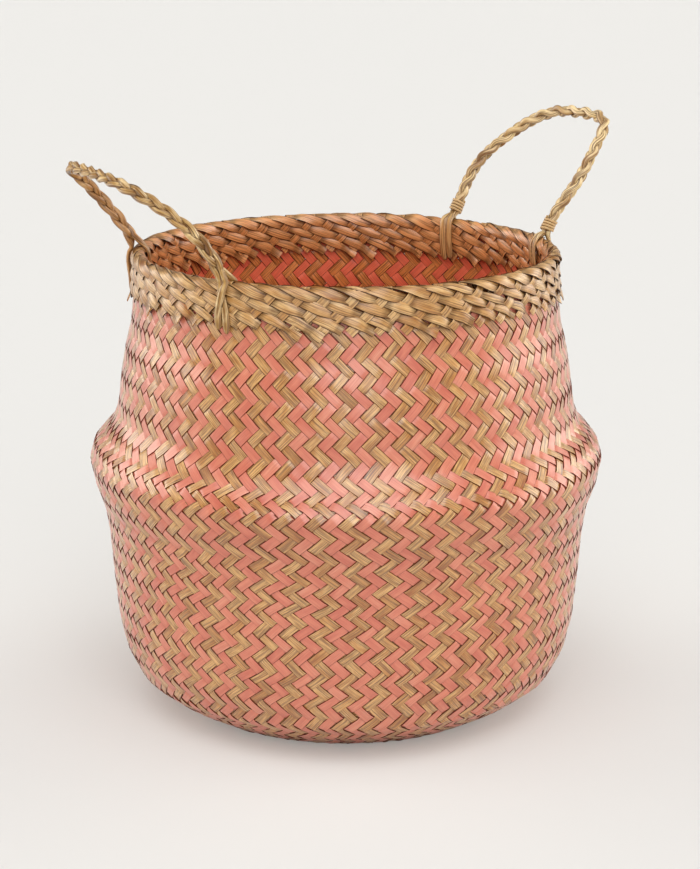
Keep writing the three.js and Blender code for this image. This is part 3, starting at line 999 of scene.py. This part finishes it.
def grass_lines_group():
    """Lines, patches, painted shade at the edges, the blade's own tone and its marks, all as numbers from 0 to
    1.
    """
    tree = bpy.data.node_groups.new("grass_lines", "ShaderNodeTree")
    tree.interface.new_socket("Line Scale", in_out="INPUT", socket_type="NodeSocketFloat")
    for name in ("Lines", "Cracks", "Patches", "Edge Shade", "Tone", "Shade", "Crease Shade", "Shine"):
        tree.interface.new_socket(name, in_out="OUTPUT", socket_type="NodeSocketFloat")
    line_scale = add_node(tree, "NodeGroupInput").outputs["Line Scale"]
    uv = add_node(tree, "ShaderNodeUVMap", uv_map="blade").outputs["UV"]
    place = add_node(tree, "ShaderNodeSeparateXYZ", {0: uv}).outputs
    seed, tone, shade, crease_shade = (
        add_node(tree, "ShaderNodeAttribute", attribute_name=name).outputs["Fac"]
        for name in ("seed", "tone", "shade", "crease_shade")
    )
    shift = maths(tree, "MULTIPLY", seed, SEED_SHIFT)

    def streaks(along_scale, across, detail, low, high):
        along = maths(tree, "MULTIPLY", place["X"], along_scale)
        vector = add_node(tree, "ShaderNodeCombineXYZ", {0: along, 1: across, 2: shift}).outputs[0]
        noise = add_node(tree, "ShaderNodeTexNoise", {"Vector": vector, "Scale": 1, "Detail": detail})
        limits = {"Value": noise.outputs["Fac"], "From Min": low, "From Max": high}
        return add_node(tree, "ShaderNodeMapRange", limits).outputs["Result"]

    across = maths(tree, "MULTIPLY", place["Y"], line_scale)
    # Painted shade along the blade's edges, where it meets its neighbours and dips under them.
    distance = maths(tree, "ABSOLUTE", place["Y"])
    limits = {"Value": distance, "From Min": 0.85, "From Max": 0.95}
    edge = add_node(tree, "ShaderNodeMapRange", limits, interpolation_type="SMOOTHSTEP").outputs["Result"]
    add_node(tree, "NodeGroupOutput", {
        "Lines": streaks(45, across, 3, 0.46, 0.6),
        "Cracks": streaks(28, across, 1, 0.62, 0.72),
        "Patches": streaks(80, place["Y"], 2, 0.34, 0.66),
        "Edge Shade": edge,
        "Tone": tone,
        "Shade": shade,
        "Crease Shade": crease_shade,
        "Shine": maths(tree, "SUBTRACT", 1, maths(tree, "MAXIMUM", edge, crease_shade)),
    })
    return tree


grass_lines = grass_lines_group()

# %% The grass finish, with its own colours for each kind of strip
TONE_SHARE = 0.55
# The colour and share of the painted shade in creases.
CREASE_SHADE = ((62, 28, 6), 0.88)
COAT_SMOOTHER = 0.04
LINES_ROUGHER = 0.14
LINE_DEPTH = 0.05 * MM


def grass_material(name, tones, line, crack, edge, shaded, line_scale, bump, roughness, gloss):
    """tones is a ramp of (place, colour). line, crack, edge and shaded are each a colour and its share."""
    material = bpy.data.materials.new(name)
    material.use_nodes = True
    tree = material.node_tree
    group = add_node(tree, "ShaderNodeGroup", node_tree=grass_lines)
    group.inputs["Line Scale"].default_value = line_scale
    masks = group.outputs
    tone = maths(tree, "MULTIPLY", masks["Tone"], TONE_SHARE)
    ramp_place = maths(tree, "MULTIPLY_ADD", masks["Patches"], 1 - TONE_SHARE, tone)
    ramp = add_node(tree, "ShaderNodeValToRGB", {"Fac": ramp_place})
    elements = ramp.color_ramp.elements
    while len(elements) < len(tones):
        elements.new(0.5)
    for element, (place, colour) in zip(elements, tones):
        element.position = place
        element.color = linear(*colour)
    colour = ramp.outputs["Color"]
    # The shade marks, the edge mask and the crease mask paint shade into the colour.
    layers = {"Shade": shaded, "Lines": line, "Cracks": crack, "Edge Shade": edge, "Crease Shade": CREASE_SHADE}
    for mask, (over, share) in layers.items():
        amount = maths(tree, "MULTIPLY", masks[mask], share)
        sources = {"Factor": amount, "A": colour, "B": linear(*over)}
        colour = add_node(tree, "ShaderNodeMix", sources, data_type="RGBA", label=mask).outputs["Result"]
    limits = {"Value": masks["Lines"], "To Min": roughness, "To Max": roughness + LINES_ROUGHER}
    rough = add_node(tree, "ShaderNodeMapRange", limits).outputs["Result"]
    dents = {"Strength": bump, "Distance": LINE_DEPTH, "Height": masks["Lines"]}
    normal = add_node(tree, "ShaderNodeBump", dents, invert=True).outputs["Normal"]
    feed(tree, tree.nodes["Principled BSDF"], {
        "Base Color": colour,
        "Roughness": rough,
        "Specular IOR Level": 0.2,
        "Coat Weight": masks["Shine"],
        "Coat Roughness": roughness - COAT_SMOOTHER,
        "Coat IOR": gloss,
        "Normal": normal,
    })
    return material


# In each finish the shaded colour and the edge colour are painted shade: the first on the sides that face
# inwards or away from the light, the second along the blades' edges.
dyed_grass = grass_material(
    "dyed_grass",
    [(0.0, (198, 101, 77)), (0.35, (209, 117, 90)), (0.65, (217, 130, 101)), (1.0, (222, 146, 117))],
    line=((190, 90, 70), 0.4), crack=((170, 76, 52), 0.3), edge=((90, 18, 0), 0.95),
    shaded=((250, 118, 84), 0.85), line_scale=7, bump=0.45, roughness=0.36, gloss=1.7,
)
natural_grass = grass_material(
    "natural_grass",
    [(0.0, (160, 86, 16)), (0.2, (180, 116, 48)), (0.45, (199, 141, 73)), (0.7, (220, 171, 106)),
     (0.85, (197, 147, 82)), (1.0, (170, 120, 58))],
    line=((118, 68, 22), 0.74), crack=((80, 38, 8), 0.9), edge=((74, 24, 0), 0.95),
    shaded=((238, 146, 80), 0.85), line_scale=6, bump=0.9, roughness=0.34, gloss=1.8,
)
border_grass = grass_material(
    "border_grass",
    [(0.0, (168, 98, 30)), (0.16, (184, 128, 62)), (0.45, (202, 152, 88)), (0.75, (224, 183, 124)),
     (1.0, (184, 135, 75))],
    line=((130, 82, 34), 0.7), crack=((84, 42, 12), 0.85), edge=((44, 14, 0), 1.0),
    shaded=((226, 148, 88), 0.85), line_scale=6.5, bump=1.0, roughness=0.38, gloss=1.6,
)
plait_grass = grass_material(
    "plait_grass",
    [(0.0, (144, 104, 54)), (0.25, (184, 145, 87)), (0.6, (246, 218, 164)), (1.0, (226, 196, 134))],
    line=((112, 68, 26), 0.8), crack=((66, 34, 10), 0.9), edge=((128, 86, 42), 0.0),
    shaded=((196, 134, 72), 0.8), line_scale=7, bump=1.4, roughness=0.42, gloss=1.5,
)
thread_grass = grass_material(
    "thread_grass",
    [(0.0, (200, 158, 100)), (1.0, (218, 184, 130))],
    line=((150, 104, 54), 0.4), crack=((120, 80, 40), 0.3), edge=((84, 48, 18), 0.85),
    shaded=((184, 122, 64), 0.8), line_scale=3, bump=0.4, roughness=0.45, gloss=1.45,
)

# %% [markdown]
# ## Dressing the basket
# Each piece takes its finish and hides the imported nodes that it stands for. The wall, the border and the
# whippings ride on their bodies. The plaits cross the hinges, and they are only baked in place.

# %% Put the finishes on and join the pieces to their bodies
WALL_NODES = ("base_mat", "belly_foot", "belly_wall", "shoulder_fold", "neck_wall")
BORDER_NODES = ("rim_border_outer", "rim_border_inner", "rim_roll")


def finish(piece, material, nodes):
    piece.data.materials.clear()
    piece.data.materials.append(material)
    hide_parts(*nodes)


def rope_nodes(side):
    """A handle's rope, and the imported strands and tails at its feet."""
    feet = [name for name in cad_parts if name.startswith(side) and ("split" in name or "tail" in name)]
    return [f"{side}_handle_rope", *feet]


for (dye, _), piece in wall_pieces.items():
    finish(piece, dyed_grass if dye == "dyed" else natural_grass, WALL_NODES)
    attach(piece, "basket")
for piece in (shallow_border, steep_border):
    finish(piece, border_grass, BORDER_NODES)
    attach(piece, "basket")

finish(left_plait, plait_grass, rope_nodes("left"))
finish(right_plait, plait_grass, rope_nodes("right"))
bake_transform(left_plait)
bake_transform(right_plait)
finish(front_whipping, thread_grass, ["right_front_whipping"])
finish(back_whipping, thread_grass, ["right_back_whipping"])
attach(front_whipping, "right_handle")
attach(back_whipping, "right_handle")

# %% [markdown]
# ## Floor and light
# The basket stands on a plain pale floor that fills the whole view, so there is no horizon. A broad soft
# light from the top makes the shadow under the belly, and a ring of them puts the whitish sheen on the
# shoulder. One from the front reaches the inside through the mouth, two low ones from behind light the
# flanks, and an even pale sky fills the rest.

# %% What the camera sees in place of a shader
BACKDROP = linear(238, 237, 232)


def show_backdrop(tree, shader, plain_kind, share, output):
    """Shows the camera the backdrop's plain tone instead of the shader, as far as the share says."""
    plain = add_node(tree, plain_kind, {"Color": BACKDROP})
    camera_ray = add_node(tree, "ShaderNodeLightPath").outputs["Is Camera Ray"]
    amount = maths(tree, "MULTIPLY", camera_ray, share)
    mix = add_node(tree, "ShaderNodeMixShader", {0: amount, 1: shader.outputs[0], 2: plain.outputs[0]})
    feed(tree, tree.nodes[output], {"Surface": mix.outputs[0]})


# %% Floor
FLOOR_TONE = linear(226, 225, 223)
# A quarter of what the camera sees of the floor is the plain tone, which keeps the shadows light.
FLOOR_SHARE = 0.25

bpy.ops.object.select_all(action="DESELECT")
bpy.ops.mesh.primitive_plane_add(size=60, location=(0, 15, 0))
floor = bpy.context.object
floor.name = "floor"
paper = bpy.data.materials.new("floor_paper")
paper.use_nodes = True
floor_shader = paper.node_tree.nodes["Principled BSDF"]
floor_look = {"Base Color": FLOOR_TONE, "Roughness": 0.9, "Specular IOR Level": 0.1}
feed(paper.node_tree, floor_shader, floor_look)
show_backdrop(paper.node_tree, floor_shader, "ShaderNodeEmission", FLOOR_SHARE, "Material Output")
floor.data.materials.append(paper)

# %% Sky
SKY_STRENGTH = 0.3

world = bpy.data.worlds.new("pale_sky")
bpy.context.scene.world = world
world.use_nodes = True
sky = world.node_tree.nodes["Background"]
feed(world.node_tree, sky, {"Color": (1, 1, 1, 1), "Strength": SKY_STRENGTH})
show_backdrop(world.node_tree, sky, "ShaderNodeBackground", 1, "World Output")


# %% The lamps
def softbox(name, bearing, elevation, strength, softness, colour=(1, 1, 1)):
    """A broad far light. Its bearing is counted from the camera's side, positive to the right."""
    turn = (math.radians(90 - elevation), 0, math.radians(bearing))
    bpy.ops.object.light_add(type="SUN", rotation=turn)
    light = bpy.context.object
    light.name = name
    light.data.energy = strength
    light.data.angle = math.radians(softness)
    light.data.color = colour


RING = [(-75, 0.18), (-38, 0.3), (0, 0.32), (38, 0.3), (75, 0.18)]
RING_ELEVATION = 60
RING_SOFTNESS = 32
WARM = (1, 0.94, 0.86)

softbox("softbox_top", 0, 80, 0.25, 34)
for number, (bearing, strength) in enumerate(RING, 1):
    softbox(f"softbox_ring_{number}", bearing, RING_ELEVATION, strength, RING_SOFTNESS)
softbox("softbox_front", 6, 30, 1.25, 46)
softbox("softbox_left", -108, 7, 2.1, 56, WARM)
softbox("softbox_right", 108, 7, 2.05, 56, WARM)

bpy.context.scene.view_settings.view_transform = "Standard"
